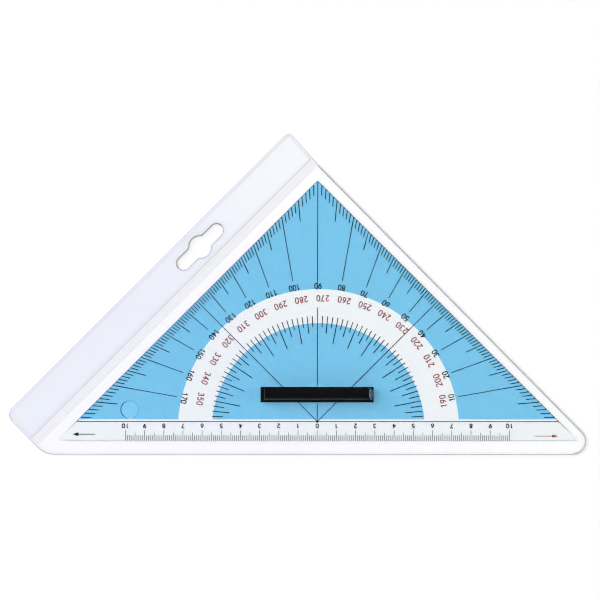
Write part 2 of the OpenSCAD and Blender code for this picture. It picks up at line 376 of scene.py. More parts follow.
def film_edge(name, shade, body, cast):
    """The same film where the knife cut it: the edge bends light away, so it is dark and throws a shadow."""
    finish, tree, place = new_finish(name)
    nicks = put(tree, "ShaderNodeTexNoise", {"Vector": place, "Scale": 1 / (2 * mm), "Detail": 2.0})
    uneven = {"To Min": body * 0.6, "To Max": body * 1.4}
    share = put(tree, "ShaderNodeMapRange", {"Value": nicks.outputs[0], **uneven})
    # The eye sees the shade through it, and the light that passes it on its way down takes the cast.
    seen = put(tree, "ShaderNodeLightPath").outputs["Is Camera Ray"]
    colours = {6: linear(cast), 7: linear(shade)}
    passing = put(tree, "ShaderNodeMix", {"Factor": seen, **colours}, data_type="RGBA")
    through = put(tree, "ShaderNodeBsdfTransparent", {"Color": passing.outputs[2]})
    matt_grey = {"Base Color": linear("#B9BCC2"), "Roughness": 0.35, "IOR": 1.53}
    grey = put(tree, "ShaderNodeBsdfPrincipled", matt_grey)
    whole = put(tree, "ShaderNodeMixShader", {0: share.outputs[0], 1: through.outputs[0], 2: grey.outputs[0]})
    put(tree, "ShaderNodeOutputMaterial", {"Surface": whole.outputs[0]})
    return finish


back_film = drawn_round("pouch_back_sheet", pouch_discs(), 0, film_thickness)
bpy.ops.object.mode_set(mode="EDIT")
bpy.ops.mesh.select_all(action="SELECT")
bpy.ops.mesh.bisect(plane_co=(*on_slant(0, mouth), 0), plane_no=(*on_slant(0, 1), 0), threshold=0.000001)
only(back_film)
flare_header(back_film)
punch = slot_punch()
finish_with(back_film, "BOOLEAN", object=punch, operation="DIFFERENCE", solver="EXACT")
sheet_only(back_film, cut_edge)
slice_sheet(back_film, steps(*across_pouch, 5 * mm), steps(*up_pouch, 5 * mm))
only(back_film)
for corner in back_film.data.vertices:
    corner.co.z = film_thickness + header_lift(corner.co.x, corner.co.y)
sort_rims(back_film, towards_light=2, from_light=3)
finish_with(back_film, "SOLIDIFY", thickness=film_thickness, offset=-1)
back_finish = clear_film("hazy_soft_PVC_back_film", "#FEFEFF", "#FFFFFF", "#FAFAFC", 0.003, greyed=0.036)
back_film.data.materials.append(back_finish)
back_film.data.materials.append(film_edge("knife_cut_PVC_edge", "#F5F4F3", 0.06, "#767676"))
back_film.data.materials.append(film_edge("knife_cut_thin_PVC_edge", "#E2E4E8", 0.06, "#E2E4E6"))
# Slot 3: the slot's upper left rim, greyed with painted shade where it faces away from the light.
back_film.data.materials.append(film_edge("punched_PVC_edge_painted_shade", "#D4D3D2", 0.06, "#404142"))
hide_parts("back_film")
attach(back_film, "pouch")

# The header strip: a second layer of PVC with a faint blue cast, laid on the header to stiffen it.
# It stops 4.4 mm short of the pocket's mouth and 0.8 mm short of the sheet under it. Its cut edges are
# rounded, which shows as a pale rim 0.8 mm wide.
strip_start = mouth + 4.4 * mm
strip_short = 0.8 * mm
strip_rim = 0.8 * mm


def keep_side(piece, at, facing):
    """Cuts the solid in edit mode with a plane through at, and keeps what lies behind the plane's face."""
    bpy.ops.mesh.select_mode(type="FACE")
    bpy.ops.mesh.select_all(action="SELECT")
    bpy.ops.mesh.bisect(
        plane_co=(*at, 0), plane_no=(*facing, 0), clear_outer=True, use_fill=True, threshold=0.000001
    )


strip = drawn_round("header_stiffening_sheet", pouch_discs(), 0, film_thickness)
bpy.ops.object.mode_set(mode="EDIT")
outwards = Vector(on_slant(0, 1))
along_mouth = Vector(on_slant(1, 0))
keep_side(strip, on_slant(0, strip_start), -outwards)
keep_side(strip, on_slant(0, header_edge - strip_short), outwards)
keep_side(strip, on_slant(side_at(mouth) - strip_short, 0), along_mouth)
keep_side(strip, on_slant(pouch_end + strip_short, 0), -along_mouth)
only(strip)
flare_header(strip)
finish_with(strip, "BOOLEAN", object=punch, operation="DIFFERENCE", solver="EXACT")
bpy.data.objects.remove(punch)
sheet_only(strip, strip_rim)
slice_sheet(strip, steps(-160 * mm, 0, 5 * mm), steps(-10 * mm, 148 * mm, 5 * mm))
only(strip)
for corner in strip.data.vertices:
    corner.co.z = 2 * film_thickness + header_lift(corner.co.x, corner.co.y)
sort_rims(strip, towards_light=1, from_light=2)
finish_with(strip, "SOLIDIFY", thickness=film_thickness, offset=-1)
strip.data.materials.append(clear_film("pale_blue_PVC_film", "#FAFBFD", "#FCFDFE", "#F1F4FB", 0.004))
strip.data.materials.append(film_edge("knife_cut_blue_PVC_edge", "#F8F9FC", 0.02, "#F0F2F4"))
# Slot 2: the strip's rim at the slot's upper left, a little greyed with painted shade, with a dark cast that
# throws a shadow into the slot.
strip.data.materials.append(film_edge("punched_blue_PVC_edge_painted_shade", "#F2F1F0", 0.04, "#707274"))
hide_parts("header_strip")
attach(strip, "pouch")

# The pocket's front film: clear soft PVC, welded to the back film along three sides and open at the left.
# It is drawn up over the grip like a low tent and sags between the grip and the weld.
front_film = drawn_round("pouch_front_sheet", pouch_discs(), 0, film_thickness)
bpy.ops.object.mode_set(mode="EDIT")
keep_side(front_film, on_slant(0, mouth), outwards)
sheet_only(front_film, cut_edge)
# The welding bar left a border 2.4 mm wide. Its outer 0.6 mm is a band of painted shade, where the right-hand
# side lies away from the light. The finishes by number: 0 is the film, 1 its cut edges, 2 the cut along the
# mouth and 3 that band.
weld_width = 2.4 * mm
shade_band_width = 0.6 * mm
shade_band_reach = 12 * mm
pick(front_film, "faces", lambda face: face.material_index == 0)
bpy.ops.mesh.inset(thickness=shade_band_width, depth=0)
shape = bmesh.from_edit_mesh(front_film.data)
for face in shape.faces:
    if not face.select and face.material_index == 0:
        face.material_index = 3
bmesh.update_edit_mesh(front_film.data)
pick(front_film, "faces", lambda face: face.material_index == 0)
bpy.ops.mesh.inset(thickness=weld_width - cut_edge - shade_band_width, depth=0)
# It bends in squares of 2.5 mm, and also along the edges of the grip's top.
leg_distance = 88.929 * mm
ruler_edge = -10 * mm
plate_top = 3.4 * mm
grip_top = 10.4 * mm
grip_up = 13.9 * mm
grip_length = 58.8 * mm
grip_width = 7.9 * mm
reach_x, reach_y = 27.2 * mm, 2.7 * mm
across = steps(*across_pouch, 2.5 * mm) + [-reach_x, reach_x]
along = steps(*up_pouch, 2.5 * mm) + [grip_up - reach_y, grip_up + reach_y]
slice_sheet(front_film, across, along)
only(front_film)
cad_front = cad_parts["front_film"].data
tent_corners = [corner.co.copy() for corner in cad_front.vertices]
tent = BVHTree.FromPolygons(tent_corners, [list(face.vertices) for face in cad_front.polygons])


def tent_height(x, y):
    """How high the taut film stands at a place, or the height of the weld outside it."""
    u, v = slanted(x, y)
    just_inside = mouth - 0.05 * mm
    place_now = on_slant(u, min(v, just_inside))
    hit = tent.ray_cast(Vector((*place_now, 1)), Vector((0, 0, -1)))[0]
    return hit.z if hit else 2 * film_thickness


def least_height(x, y):
    """How high the film must stay to clear the plate and the grip under it."""
    clear = 0.3 * mm + film_thickness
    if abs(x) < reach_x + 0.1 * mm and abs(y - grip_up) < reach_y + 0.1 * mm:
        return grip_top + clear
    # The grip rises from a foot 1.2 mm high, and the film keeps clear of a flank that leans in by 1.25 mm.
    foot_top, lean = plate_top + 1.2 * mm, 1.25 * mm
    off_grip = max(abs(x) - grip_length / 2, abs(y - grip_up) - grip_width / 2)
    if off_grip < 0:
        return foot_top + clear + (grip_top - foot_top) * min(-off_grip / lean, 1)
    inside = min(leg_distance - abs(x) / root_two - y / root_two, y - ruler_edge)
    return plate_top + clear if inside > -0.6 * mm else 2 * film_thickness


# The taut film then slackens: each place sinks towards its neighbours, and stops where it would touch.
slackening_rounds = 60
sag_each_round = 0.02 * mm
bend = bmesh.new()
bend.from_mesh(front_film.data)
for corner in bend.verts:
    corner.co.z = tent_height(corner.co.x, corner.co.y)
free = [corner for corner in bend.verts if corner.co.z > 2 * film_thickness + 0.02 * mm]
floor_under = {corner: least_height(corner.co.x, corner.co.y) for corner in free}
top_now = {corner: corner.co.z for corner in free}
for turn in range(slackening_rounds):
    for corner in free:
        near = [edge.other_vert(corner).co.z for edge in corner.link_edges]
        sunk = corner.co.z + 0.5 * (sum(near) / len(near) - corner.co.z) - sag_each_round
        corner.co.z = min(max(sunk, min(floor_under[corner], top_now[corner])), top_now[corner])
bend.to_mesh(front_film.data)
bend.free()
# The cut along the mouth has a finish of its own. The painted shade band stays only within 12 mm of the
# right-hand side.
for face in front_film.data.polygons:
    up, out = slanted(*face.center.xy)
    off_side = up <= pouch_side - shade_band_reach
    if face.material_index == 1 and out > mouth - cut_edge:
        face.material_index = 2
    if face.material_index == 3 and (out > mouth - cut_edge - shade_band_width or off_side):
        face.material_index = 0
finish_with(front_film, "SOLIDIFY", thickness=film_thickness, offset=-1)
bpy.ops.object.shade_smooth_by_angle(angle=math.radians(35))
front_film.data.materials.append(clear_film("clear_soft_PVC_film", "#FEFEFF", "#FFFFFF", "#F8F8FA", 0.002))
front_film.data.materials.append(back_film.data.materials[1])
front_film.data.materials.append(film_edge("knife_cut_PVC_mouth_edge", "#FCFCFE", 0.0, "#F6F6F7"))
# Slot 3: the band of painted shade along the right-hand side.
front_film.data.materials.append(film_edge("right_side_PVC_edge_painted_shade", "#ECEBEB", 0.03, "#ECEBEB"))
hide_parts("front_film")
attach(front_film, "pouch")
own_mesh(front_film)

# The card that lies behind the plate: smooth white board, 0.3 mm thick, litho-printed in one pale blue.
# A curved band is left white for the red numbers, and so is the strip behind the ruler.
card_finish, tree, place = new_finish("litho_printed_white_board")
parts = put(tree, "ShaderNodeSeparateXYZ", {0: place})
band_middle = (0.57 * mm, -4.2 * mm, 0)
band_inside = 55.45 * mm
band_outside = 73.2 * mm
blue_foot = 1.12 * mm
print_blur = 0.04 * mm
flat = put(tree, "ShaderNodeVectorMath", {0: place, 1: (1, 1, 0)}, operation="MULTIPLY")
reach = put(tree, "ShaderNodeVectorMath", {0: flat.outputs[0], 1: band_middle}, operation="DISTANCE")
inner = {"From Min": band_inside - print_blur, "From Max": band_inside + print_blur, **fading_out}
outer = {"From Min": band_outside - print_blur, "From Max": band_outside + print_blur}
lower = {"From Min": blue_foot - print_blur, "From Max": blue_foot + print_blur}
inside = put(tree, "ShaderNodeMapRange", {"Value": reach.outputs["Value"], **inner})
outside = put(tree, "ShaderNodeMapRange", {"Value": reach.outputs["Value"], **outer})
either = put(tree, "ShaderNodeMath", {0: inside.outputs[0], 1: outside.outputs[0]}, operation="MAXIMUM")
above = put(tree, "ShaderNodeMapRange", {"Value": parts.outputs["Y"], **lower})
printed = put(tree, "ShaderNodeMath", {0: either.outputs[0], 1: above.outputs[0]}, operation="MULTIPLY")
# The ink lies on the card's upper face only; its cut edges stay white.
card_top = {"From Min": 1.05 * mm, "From Max": 1.08 * mm}
on_face = put(tree, "ShaderNodeMapRange", {"Value": parts.outputs["Z"], **card_top})
inked = put(tree, "ShaderNodeMath", {0: printed.outputs[0], 1: on_face.outputs[0]}, operation="MULTIPLY")
# The screened blue is very slightly uneven: soft mottles of 3 mm and a grain of 0.6 mm.
soft_mottles = {"Scale": 1 / (3 * mm), "Detail": 4.0, "Roughness": 0.7}
mottle = put(tree, "ShaderNodeTexNoise", {"Vector": place, **soft_mottles})
blue_ramp = put(tree, "ShaderNodeMapRange", {"Value": mottle.outputs[0], "From Min": 0.3, "From Max": 0.7})
blues = {6: linear("#7AC9EF"), 7: linear("#82CFF4")}
blue = put(tree, "ShaderNodeMix", {"Factor": blue_ramp.outputs[0], **blues}, data_type="RGBA")
fibres = put(tree, "ShaderNodeTexNoise", {"Vector": place, "Scale": 1 / (0.6 * mm), "Detail": 2.0})
whites = {6: linear("#F8FBFD"), 7: linear("#FCFDFE")}
white = put(tree, "ShaderNodeMix", {"Factor": fibres.outputs[0], **whites}, data_type="RGBA")
white_or_blue = {"Factor": inked.outputs[0], 6: white.outputs[2], 7: blue.outputs[2]}
print_colour = put(tree, "ShaderNodeMix", white_or_blue, data_type="RGBA")
tooth = put(tree, "ShaderNodeBump", {"Height": fibres.outputs[0], "Strength": 0.3, "Distance": 0.01 * mm})
board = put(
    tree,
    "ShaderNodeBsdfPrincipled",
    {"Base Color": print_colour.outputs[2], "Roughness": 0.6, "Normal": tooth.outputs["Normal"]},
)
put(tree, "ShaderNodeOutputMaterial", {"Surface": board.outputs[0]})
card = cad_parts["printed_card"]
card.data.materials.clear()
card.data.materials.append(card_finish)

# The triangle: one plate of clear acrylic, 2 mm thick, moulded with a bevelled ruler edge and two holes.
# Its faces are polished and almost flawless; light gathers along its edges and round its holes.
acrylic, tree, place = new_finish("clear_moulded_acrylic")
# Its narrow walls and chamfers send the eye sideways into the plate, so they look darker than its faces.
facing = put(tree, "ShaderNodeSeparateXYZ", {0: put(tree, "ShaderNodeNewGeometry").outputs["Normal"]})
flatness = put(tree, "ShaderNodeMath", {0: facing.outputs["Z"]}, operation="ABSOLUTE")
on_edge = put(tree, "ShaderNodeMapRange", {"Value": flatness.outputs[0], "From Min": 0.9, "From Max": 0.96})
plate_middle = 2.4 * mm
hanging_hole = (-97.765 * mm, 6.1 * mm, plate_middle)
off_hanging = put(tree, "ShaderNodeVectorMath", {0: place, 1: hanging_hole}, operation="DISTANCE")
clear_of_hanging = {"From Min": 6 * mm, "From Max": 7 * mm}
at_leg = put(tree, "ShaderNodeMapRange", {"Value": off_hanging.outputs["Value"], **clear_of_hanging})
# The rim of the hanging hole is dark on its left, where it turns away from the light.
over = put(tree, "ShaderNodeSeparateXYZ", {0: place})
across_hole = {"From Min": -101 * mm, "From Max": -96 * mm}
right_side = put(tree, "ShaderNodeMapRange", {"Value": over.outputs["X"], **across_hole})
rim_greys = {6: linear("#1E2A32"), 7: linear("#E4ECF0")}
rim_dark = put(tree, "ShaderNodeMix", {"Factor": right_side.outputs[0], **rim_greys}, data_type="RGBA")
# The right-hand leg is darkest past the ruler's end, where no blue shines into it.
ruler_end = {"From Min": 122 * mm, "From Max": 126 * mm}
past_ruler = put(tree, "ShaderNodeMapRange", {"Value": over.outputs["X"], **ruler_end})
leg_greys = {6: linear("#8496A2"), 7: linear("#39434A")}
leg_dark = put(tree, "ShaderNodeMix", {"Factor": past_ruler.outputs[0], **leg_greys}, data_type="RGBA")
rim_or_leg = {"Factor": at_leg.outputs[0], 6: rim_dark.outputs[2], 7: leg_dark.outputs[2]}
edge_dark = put(tree, "ShaderNodeMix", rim_or_leg, data_type="RGBA")
edge_or_face = {"Factor": on_edge.outputs[0], 6: edge_dark.outputs[2], 7: linear("#FDFEFF")}
glow_colour = put(tree, "ShaderNodeMix", edge_or_face, data_type="RGBA")
flow = put(tree, "ShaderNodeTexNoise", {"Vector": place, "Scale": 1 / (30 * mm), "Detail": 1.0})
flow_bump = put(tree, "ShaderNodeBump", {"Height": flow.outputs[0], "Strength": 0.3, "Distance": 0.02 * mm})
polished = put(
    tree,
    "ShaderNodeBsdfPrincipled",
    {
        "Base Color": glow_colour.outputs[2],
        "Roughness": 0.0,
        "IOR": 1.49,
        "Transmission Weight": 1.0,
        "Normal": flow_bump.outputs["Normal"],
    },
)
# Lamp light and light thrown back by the card go straight through it, so that they are counted once.
pass_light = put(tree, "ShaderNodeBsdfTransparent", {"Color": linear("#FEFFFF")})
# The rim of the grip's hole is polished by the spigot that fills it, so it hardly shows.
grip_hole = (0, grip_up, plate_middle)
off_grip = put(tree, "ShaderNodeVectorMath", {0: place, 1: grip_hole}, operation="DISTANCE")
clear_of_grip = {"From Min": 6.3 * mm, "From Max": 6.8 * mm}
off_hole = put(tree, "ShaderNodeMapRange", {"Value": off_grip.outputs["Value"], **clear_of_grip})
glassy = put(tree, "ShaderNodeMath", {0: looked_at(tree), 1: off_hole.outputs[0]}, operation="MULTIPLY")
plate_look = put(
    tree, "ShaderNodeMixShader", {0: glassy.outputs[0], 1: pass_light.outputs[0], 2: polished.outputs[0]}
)
put(tree, "ShaderNodeOutputMaterial", {"Surface": plate_look.outputs[0]})
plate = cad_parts["triangle_plate"]
plate.data.materials.clear()
plate.data.materials.append(acrylic)

# The scales: black and red ink, screen-printed on the underside of the plate so that they touch the chart.
# Each line is a thin flat bar of ink; repeated ones are made once, then spun round the zero or set in rows.
marks_foot = ruler_edge + 0.05 * mm
ink_top = 1.39 * mm
ink_thickness = 0.03 * mm
line_width = 0.33 * mm
tick_width = 0.4 * mm
rule_width = 0.23 * mm
baseline_width = 0.25 * mm
short_line = 4.1 * mm
long_line = 8.8 * mm
past_legs = 150 * mm


def ink_bar(near, far, angle, width):
    """A flat bar of ink from near to far from the zero, at an angle in degrees above the ruler."""
    turn = math.radians(angle)
    middle = (near + far) / 2
    place = (middle * math.cos(turn), middle * math.sin(turn), ink_top)
    bpy.ops.mesh.primitive_plane_add(size=1, location=place, rotation=(0, 0, turn))
    bar = bpy.context.object
    bar.scale = (far - near, width, 1)
    return start_piece("ink_bar")


def fan(near, far, first, last, step, width, inset_near=None, inset_far=None):
    """Bars spun round the zero from first to last degree, cut off at lines a given way inside the legs."""
    bar = ink_bar(near, far, first, width)
    turns = round((last - first) / step)
    if turns:
        bpy.ops.mesh.spin(
            steps=turns, dupli=True, angle=-math.radians(last - first), center=(0, 0, 0), axis=(0, 0, 1)
        )
    for inset, side in ((inset_far, 1), (inset_near, -1)):
        if inset is not None:
            at = Vector((1, 1, 0)).normalized() * (leg_distance - inset)
            bpy.ops.mesh.select_all(action="SELECT")
            facing = Vector((side, side, 0))
            bpy.ops.mesh.bisect(plane_co=at, plane_no=facing, clear_outer=True, threshold=0.000001)
    only(bar)
    return bar


def as_one(name, pieces):
    """Joins pieces into one object."""
    only(pieces[0])
    for piece in pieces[1:]:
        piece.select_set(True)
    bpy.ops.object.join()
    pieces[0].name = name
    return pieces[0]


# The degree marks end at the legs: short ones each degree, longer ones each fifth, lines each tenth.
degree_lines = []
for first, last in ((0, 45), (45, 90)):
    degree_lines.append(fan(60 * mm, past_legs, first + 1, last - 1, 1, tick_width, short_line, 0.0))
    degree_lines.append(fan(60 * mm, past_legs, first + 5, last - 5, 5, tick_width, long_line, short_line))
for first in (10, 50):
    degree_lines.append(fan(74.4 * mm, past_legs, first, first + 30, 10, line_width, None, long_line))
# The inner arc has 32 quarter points to the right angle, with longer marks at each second and fourth.
point = 90 / 32
for first in (0, 16):
    low, high = (first + 1) * point, (first + 15) * point
    degree_lines.append(fan(49.2 * mm, 55 * mm, low, high, point, tick_width))
    degree_lines.append(fan(46 * mm, 49.2 * mm, low + point, high - point, 2 * point, tick_width))
    degree_lines.append(fan(41 * mm, 46 * mm, low + 3 * point, high - 3 * point, 4 * point, tick_width))
degree_lines.append(fan(0, past_legs, 45, 45, 1, line_width, None, 0.0))
degree_scale = as_one("degree_scale", degree_lines)
finish_with(degree_scale, "MIRROR", use_mirror_merge=False)
# Three lengths of the line from the zero to the right-angled corner, and the line along the ruler.
long_lines = [
    fan(68.6 * mm, 125 * mm, 90, 90, 1, line_width),
    fan(18.8 * mm, 59.5 * mm, 90, 90, 1, line_width),
    fan(0, 9 * mm, 90, 90, 1, line_width),
    fan(-125.6 * mm, 125.6 * mm, 0, 0, 1, baseline_width),
]


def ruler_marks(low, high, pitch, count):
    """A row of upright marks between two heights, from ten centimetres left of the zero to ten right."""
    mark = ink_bar(low, high, 90, rule_width)
    only(mark)
    for corner in mark.data.vertices:
        corner.co.x -= 100 * mm
    finish_with(
        mark,
        "ARRAY",
        count=count,
        use_relative_offset=False,
        use_constant_offset=True,
        constant_offset_displace=(pitch, 0, 0),
    )
    return mark


millimetre_end = -7.2 * mm
half_end = -5.8 * mm
centimetre_end = -4.6 * mm
ruler = [
    ruler_marks(marks_foot, millimetre_end, 1 * mm, 201),
    ruler_marks(millimetre_end, half_end, 5 * mm, 41),
    ruler_marks(half_end, centimetre_end, 10 * mm, 21),
]
bpy.ops.mesh.primitive_circle_add(vertices=24, radius=0.6 * mm, fill_type="NGON", location=(0, 0, ink_top))
zero_dot = start_piece("zero_dot")
only(zero_dot)


def arrow(tail, tip, y, shaft_width, head_width):
    """A thin shaft with a solid head 3 mm long, drawn along the ruler."""
    head_length = 3 * mm
    neck = tip - head_length if tip > tail else tip + head_length
    bpy.ops.mesh.primitive_plane_add(size=1, location=((tail + neck) / 2, y, ink_top))
    bpy.context.object.scale = (abs(neck - tail), shaft_width, 1)
    shaft = start_piece("arrow")
    # The head starts as a square one metre wide, is shrunk to its size and then drawn to a point at the tip.
    head = ((neck + tip) / 2, y, ink_top)
    bpy.ops.mesh.primitive_plane_add(size=1, location=head)
    pick(shaft, "verts", lambda corner: abs(abs(corner.co.x - head[0]) - 0.5) < mm)
    bpy.ops.transform.resize(value=(head_length, head_width, 1), center_override=head)
    pick(shaft, "verts", lambda corner: abs(corner.co.x - tip) < 0.01 * mm)
    bpy.ops.transform.resize(value=(1, 0.02, 1), center_override=(tip, y, ink_top))
    only(shaft)
    return shaft


black_arrow = arrow(-115.9 * mm, -127.6 * mm, y=-6.6 * mm, shaft_width=0.34 * mm, head_width=2 * mm)
red_arrow = arrow(113.1 * mm, 125.1 * mm, y=-7.5 * mm, shaft_width=0.25 * mm, head_width=1.5 * mm)


def arc(x, y, wide, high, start, end, count):
    """Points on an oval arc, in shares of the figure's height."""
    turns = [math.radians(start + (end - start) * n / count) for n in range(count + 1)]
    return [(x + wide * math.cos(turn), y + high * math.sin(turn)) for turn in turns]


# The figures are drawn with one even line, as drawing instruments have them. Each is 1 high and 0.6 wide.
# A sign that turns back on itself is drawn in two strokes, so that its corners stay clean.
six = [arc(0.3, 0.3, 0.3, 0.3, 120, 480, 14), arc(0.78, 0.26, 0.76, 0.76, 178, 112, 7)]
strokes = {
    "0": [arc(0.3, 0.7, 0.3, 0.3, 0, 180, 7) + arc(0.3, 0.3, 0.3, 0.3, 180, 360, 7) + [(0.6, 0.71)]],
    "1": [[(0.12, 0.76), (0.4, 1.0)], [(0.4, 1.06), (0.4, -0.06)]],
    "2": [arc(0.3, 0.7, 0.3, 0.3, 165, -30, 8) + [(0.03, 0.03)], [(-0.04, 0.0), (0.64, 0.0)]],
    "3": [arc(0.3, 0.76, 0.26, 0.24, 155, -90, 7), arc(0.3, 0.27, 0.3, 0.27, 90, -155, 9)],
    "4": [[(0.42, -0.06), (0.42, 1.06)], [(0.42, 1.0), (0.0, 0.3), (0.68, 0.3)]],
    "5": [[(0.58, 1.0), (0.1, 1.0), (0.05, 0.5)], arc(0.28, 0.32, 0.32, 0.32, 140, -145, 9)],
    "6": six,
    "7": [[(-0.04, 1.0), (0.6, 1.0), (0.16, -0.06)]],
    "8": [arc(0.3, 0.27, 0.3, 0.27, 90, 450, 12), arc(0.3, 0.77, 0.25, 0.23, -90, 270, 10)],
    "9": [[(0.6 - x, 1 - y) for x, y in run] for run in six],
}


def figure(sign, height, width, narrow):
    """One figure as a flat mesh of ink, drawn as a curve and pressed flat."""
    line = bpy.data.curves.new("figure_line", "CURVE")
    line.dimensions = "2D"
    line.fill_mode = "NONE"
    line.bevel_depth = width / 2
    line.bevel_resolution = 1
    line.use_fill_caps = True
    tall = height - width
    for places in strokes[sign]:
        run = line.splines.new("POLY")
        run.points.add(len(places) - 1)
        for point_now, (x, y) in zip(run.points, places):
            point_now.co = ((x - 0.3) * tall * narrow, (y - 0.5) * tall, 0, 1)
    drawn = bpy.data.objects.new("figure", line)
    bpy.context.collection.objects.link(drawn)
    only(drawn)
    bpy.ops.object.convert(target="MESH")
    drawn = bpy.context.object
    for corner in drawn.data.vertices:
        corner.co.z *= ink_thickness / width
    return drawn


def number(figures, text, x, y, turn, pitch):
    """Copies the figures of a number into place, its middle at x, y and turned by turn."""
    copies = []
    for n, sign in enumerate(text):
        copy = figures[sign].copy()
        copy.data = figures[sign].data.copy()
        bpy.context.collection.objects.link(copy)
        shift = Matrix.Translation(((n - (len(text) - 1) / 2) * pitch, 0, 0))
        where = Matrix.Translation((x, y, ink_top - ink_thickness / 2)) @ Matrix.Rotation(turn, 4, "Z")
        copy.data.transform(where @ shift)
        copies.append(copy)
    return copies


def ring_of_numbers(values, radius, height, width, pitch, centre, lag):
    """Numbers round the zero every ten degrees, their heads towards it."""
    figures = {sign: figure(sign, height, width, 0.84) for sign in "0123456789"}
    copies = []
    for n, value in enumerate(values):
        angle = math.radians(10 * (n + 1) + lag)
        x = centre + radius * math.cos(angle)
        y = radius * math.sin(angle)
        copies += number(figures, str(value), x, y, angle + math.pi / 2, pitch)
    for drawn in figures.values():
        bpy.data.objects.remove(drawn)
    return copies


black_sizes = {"height": 3.15 * mm, "width": 0.45 * mm, "pitch": 2.05 * mm}
black_numbers = ring_of_numbers(range(10, 180, 10), 70.7 * mm, **black_sizes, centre=0.29 * mm, lag=0)
red_sizes = {"height": 3.4 * mm, "width": 0.46 * mm, "pitch": 2.4 * mm}
red_numbers = ring_of_numbers(range(190, 360, 10), 64.2 * mm, **red_sizes, centre=2.15 * mm, lag=-0.6)
ruler_figures = {sign: figure(sign, 2.5 * mm, 0.45 * mm, 1) for sign in "0123456789"}
ruler_numbers = []
for cm in range(-10, 11):
    ruler_numbers += number(ruler_figures, str(abs(cm)), cm * 10 * mm, -2.25 * mm, math.pi, pitch=2.1 * mm)
for drawn in ruler_figures.values():
    bpy.data.objects.remove(drawn)

flat_ink = as_one("black_scale_print", [degree_scale, *long_lines, *ruler, zero_dot, black_arrow])
finish_with(flat_ink, "SOLIDIFY", thickness=ink_thickness, offset=-1)
black_print = as_one("black_scale_print", [flat_ink, *black_numbers, *ruler_numbers])
finish_with(red_arrow, "SOLIDIFY", thickness=ink_thickness, offset=-1)
red_print = as_one("red_scale_print", [red_arrow, *red_numbers])


def screen_ink(name, dark, light):
    """Screen-printed ink: a thin even film of colour, a little lighter where the screen left less."""
    finish, tree, place = new_finish(name)
    weave = put(tree, "ShaderNodeTexNoise", {"Vector": place, "Scale": 1 / (0.5 * mm), "Detail": 2.0})
    thin = put(tree, "ShaderNodeMapRange", {"Value": weave.outputs[0], "From Min": 0.35, "From Max": 0.8})
    shades = {6: linear(dark), 7: linear(light)}
    colour = put(tree, "ShaderNodeMix", {"Factor": thin.outputs[0], **shades}, data_type="RGBA")
    coat = put(tree, "ShaderNodeBsdfPrincipled", {"Base Color": colour.outputs[2], "Roughness": 0.45})
    put(tree, "ShaderNodeOutputMaterial", {"Surface": coat.outputs[0]})
    return finish


black_print.data.materials.clear()
black_print.data.materials.append(screen_ink("black_screen_ink", "#080E12", "#161E22"))
red_print.data.materials.clear()
red_print.data.materials.append(screen_ink("red_screen_ink", "#96363E", "#A84C52"))
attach(black_print, "triangle")
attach(red_print, "triangle")

# The grip: one black ABS moulding with a high gloss, pushed into the plate's middle hole from above.
# Its ends lean inwards with a round dimple in each, its flanks are hollow, and two springy legs hold it.
cad_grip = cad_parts["handle"]
grip = cad_grip.copy()
grip.data = cad_grip.data.copy()
bpy.context.collection.objects.link(grip)
for key in [key for key in grip.keys() if key.startswith("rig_")]:
    del grip[key]
grip.parent = None
grip.name = "grip_bar"
grip.data.materials.clear()
only(grip)
bpy.ops.object.mode_set(mode="EDIT")
bpy.ops.mesh.select_all(action="SELECT")
bpy.ops.mesh.remove_doubles(threshold=0.000002)
bpy.ops.mesh.dissolve_limited(angle_limit=math.radians(0.5))
only(grip)
finish_with(
    grip,
    "BEVEL",
    width=0.22 * mm,
    segments=3,
    limit_method="ANGLE",
    angle_limit=math.radians(32),
    use_clamp_overlap=True,
    harden_normals=False,
)
bpy.ops.object.shade_smooth_by_angle(angle=math.radians(30))
gloss_black, tree, place = new_finish("glossy_black_moulded_ABS")
specks = put(tree, "ShaderNodeTexNoise", {"Vector": place, "Scale": 1 / (1.5 * mm), "Detail": 3.0})
ridges = {"From Min": 0.3, "From Max": 0.8, "To Min": 0.1, "To Max": 0.2}
worn = put(tree, "ShaderNodeMapRange", {"Value": specks.outputs[0], **ridges})
# Its top is polished. The flanks and ends keep the fine matt skin of the spark-cut mould.
# The right-hand dimple is polished too and mirrors the blue card; the left one has been rubbed dull.
parts = put(tree, "ShaderNodeSeparateXYZ", {0: place})
ball_middle = (31.952 * mm, grip_up, 8.885 * mm)
ball_radius = 4.806 * mm
from_ball = put(tree, "ShaderNodeVectorMath", {0: place, 1: ball_middle}, operation="DISTANCE")
off_ball = put(tree, "ShaderNodeMath", {0: from_ball.outputs["Value"], 1: ball_radius}, operation="SUBTRACT")
off_dimple = put(tree, "ShaderNodeMath", {0: off_ball.outputs[0]}, operation="ABSOLUTE")
at_top = {"From Min": 10.2 * mm, "From Max": 10.3 * mm}
at_dimple = {"From Min": 0.06 * mm, "From Max": 0.12 * mm, **fading_out}
top_share = put(tree, "ShaderNodeMapRange", {"Value": parts.outputs["Z"], **at_top})
end_share = put(tree, "ShaderNodeMapRange", {"Value": off_dimple.outputs[0], **at_dimple})
shiny = put(tree, "ShaderNodeMath", {0: top_share.outputs[0], 1: end_share.outputs[0]}, operation="MAXIMUM")
matt_skin = put(tree, "ShaderNodeBsdfDiffuse", {"Color": linear("#0A0E11"), "Roughness": 0.6})
skin = put(tree, "ShaderNodeBump", {"Height": specks.outputs[0], "Strength": 0.15, "Distance": 0.01 * mm})
blacks = {6: linear("#06080A"), 7: linear("#0D1012")}
depth = put(tree, "ShaderNodeMix", {"Factor": specks.outputs[0], **blacks}, data_type="RGBA")
